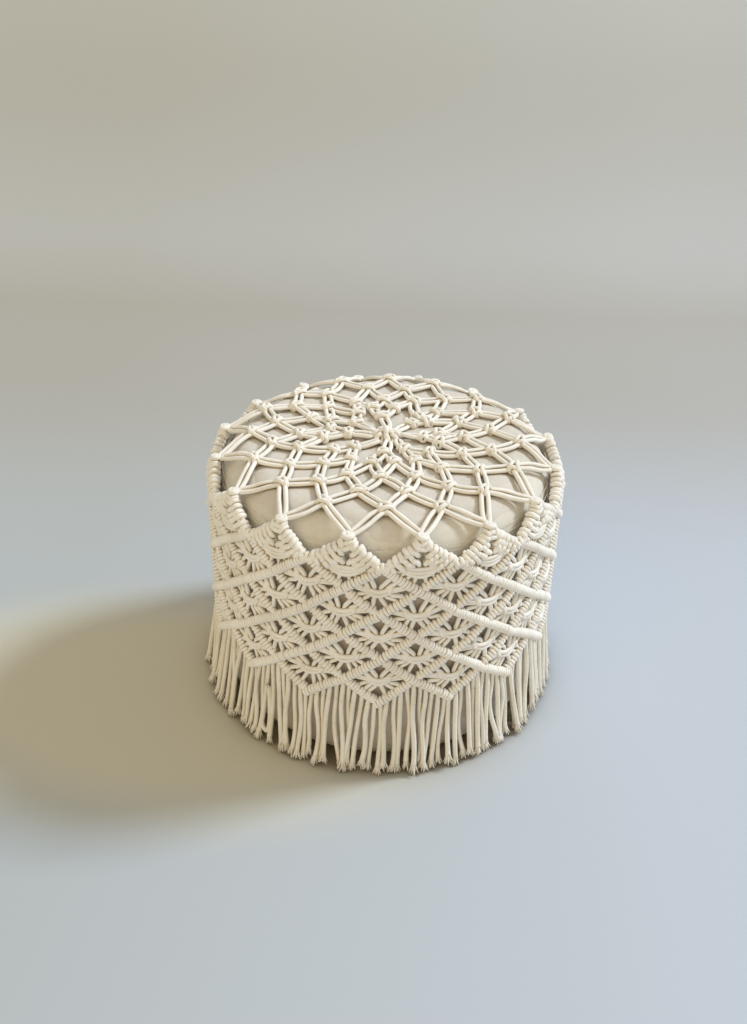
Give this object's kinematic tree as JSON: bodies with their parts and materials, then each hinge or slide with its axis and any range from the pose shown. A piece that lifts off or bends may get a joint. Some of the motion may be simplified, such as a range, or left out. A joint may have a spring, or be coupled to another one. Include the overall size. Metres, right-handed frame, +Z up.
{
  "type": "pouf",
  "caption": "Round stuffed pouf in plain fabric with a slip-over cover of knotted cotton cord: open net top, diamond-knotted skirt and a swinging fringe",
  "frame": {"origin": "middle of the base on the floor", "axes": "+Z up through the centre knot, -Y to the front, +X to the right seen from the front"},
  "size_m": [0.449, 0.449, 0.3423],
  "materials": {
    "cotton_cord": "smooth twisted cotton cord, matt with a faint sheen",
    "plain_fabric": "plain close weave, matt",
    "calico": "unbleached calico",
    "filling_fibre": "white polyester fibre",
    "zip_nylon": "dyed nylon coil and tape",
    "nickel": "nickel plated"
  },
  "bodies": {
    "pouf": {"filling": "filling_fibre", "inner_bag": "calico", "top_panel": "plain_fabric", "side_panel": "plain_fabric", "base_panel_front": "plain_fabric", "base_panel_rear": "plain_fabric", "zip_tape_front": "zip_nylon", "zip_tape_rear": "zip_nylon", "zip_stop_left": "nickel", "zip_stop_right": "nickel"},
    "zip_slider": {"zip_slider": "nickel"},
    "zip_pull": {"zip_pull": "nickel"},
    "cover": {"skirt": "cotton_cord", "fringe_heading": "cotton_cord", "top_net": "cotton_cord", "centre_knot": "cotton_cord"},
    "fringe_01": {"fringe_01": "cotton_cord"},
    "fringe_02": {"fringe_02": "cotton_cord"},
    "fringe_03": {"fringe_03": "cotton_cord"},
    "fringe_04": {"fringe_04": "cotton_cord"},
    "fringe_05": {"fringe_05": "cotton_cord"},
    "fringe_06": {"fringe_06": "cotton_cord"},
    "fringe_07": {"fringe_07": "cotton_cord"},
    "fringe_08": {"fringe_08": "cotton_cord"},
    "fringe_09": {"fringe_09": "cotton_cord"},
    "fringe_10": {"fringe_10": "cotton_cord"},
    "fringe_11": {"fringe_11": "cotton_cord"},
    "fringe_12": {"fringe_12": "cotton_cord"},
    "fringe_13": {"fringe_13": "cotton_cord"},
    "fringe_14": {"fringe_14": "cotton_cord"},
    "fringe_15": {"fringe_15": "cotton_cord"},
    "fringe_16": {"fringe_16": "cotton_cord"}
  },
  "joints": [
    {"name": "cover_lift", "type": "slide", "parent": "pouf", "child": "cover", "axis": [0, 0, 1], "range_m": [0, 0.42]},
    {"name": "zip_run", "type": "slide", "parent": "pouf", "child": "zip_slider", "axis": [-1, 0, 0], "range_m": [0, 0.2804]},
    {"name": "zip_pull_swing", "type": "hinge", "parent": "zip_slider", "child": "zip_pull", "pos_m": [0.1402, 0, 0.002], "axis": [0, -1, 0], "range_deg": [0, 110]},
    {"name": "fringe_01_swing", "type": "hinge", "parent": "cover", "child": "fringe_01", "pos_m": [0.04126, -0.20744, 0.096], "axis": [-0.9808, -0.1951, 0], "range_deg": [0, 60]},
    {"name": "fringe_02_swing", "type": "hinge", "parent": "cover", "child": "fringe_02", "pos_m": [0.1175, -0.17586, 0.096], "axis": [-0.8315, -0.5556, 0], "range_deg": [0, 60]},
    {"name": "fringe_03_swing", "type": "hinge", "parent": "cover", "child": "fringe_03", "pos_m": [0.17586, -0.1175, 0.096], "axis": [-0.5556, -0.8315, 0], "range_deg": [0, 60]},
    {"name": "fringe_04_swing", "type": "hinge", "parent": "cover", "child": "fringe_04", "pos_m": [0.20744, -0.04126, 0.096], "axis": [-0.1951, -0.9808, 0], "range_deg": [0, 60]},
    {"name": "fringe_05_swing", "type": "hinge", "parent": "cover", "child": "fringe_05", "pos_m": [0.20744, 0.04126, 0.096], "axis": [0.1951, -0.9808, 0], "range_deg": [0, 60]},
    {"name": "fringe_06_swing", "type": "hinge", "parent": "cover", "child": "fringe_06", "pos_m": [0.17586, 0.1175, 0.096], "axis": [0.5556, -0.8315, 0], "range_deg": [0, 60]},
    {"name": "fringe_07_swing", "type": "hinge", "parent": "cover", "child": "fringe_07", "pos_m": [0.1175, 0.17586, 0.096], "axis": [0.8315, -0.5556, 0], "range_deg": [0, 60]},
    {"name": "fringe_08_swing", "type": "hinge", "parent": "cover", "child": "fringe_08", "pos_m": [0.04126, 0.20744, 0.096], "axis": [0.9808, -0.1951, 0], "range_deg": [0, 60]},
    {"name": "fringe_09_swing", "type": "hinge", "parent": "cover", "child": "fringe_09", "pos_m": [-0.04126, 0.20744, 0.096], "axis": [0.9808, 0.1951, 0], "range_deg": [0, 60]},
    {"name": "fringe_10_swing", "type": "hinge", "parent": "cover", "child": "fringe_10", "pos_m": [-0.1175, 0.17586, 0.096], "axis": [0.8315, 0.5556, 0], "range_deg": [0, 60]},
    {"name": "fringe_11_swing", "type": "hinge", "parent": "cover", "child": "fringe_11", "pos_m": [-0.17586, 0.1175, 0.096], "axis": [0.5556, 0.8315, 0], "range_deg": [0, 60]},
    {"name": "fringe_12_swing", "type": "hinge", "parent": "cover", "child": "fringe_12", "pos_m": [-0.20744, 0.04126, 0.096], "axis": [0.1951, 0.9808, 0], "range_deg": [0, 60]},
    {"name": "fringe_13_swing", "type": "hinge", "parent": "cover", "child": "fringe_13", "pos_m": [-0.20744, -0.04126, 0.096], "axis": [-0.1951, 0.9808, 0], "range_deg": [0, 60]},
    {"name": "fringe_14_swing", "type": "hinge", "parent": "cover", "child": "fringe_14", "pos_m": [-0.17586, -0.1175, 0.096], "axis": [-0.5556, 0.8315, 0], "range_deg": [0, 60]},
    {"name": "fringe_15_swing", "type": "hinge", "parent": "cover", "child": "fringe_15", "pos_m": [-0.1175, -0.17586, 0.096], "axis": [-0.8315, 0.5556, 0], "range_deg": [0, 60]},
    {"name": "fringe_16_swing", "type": "hinge", "parent": "cover", "child": "fringe_16", "pos_m": [-0.04126, -0.20744, 0.096], "axis": [-0.9808, 0.1951, 0], "range_deg": [0, 60]}
  ]
}
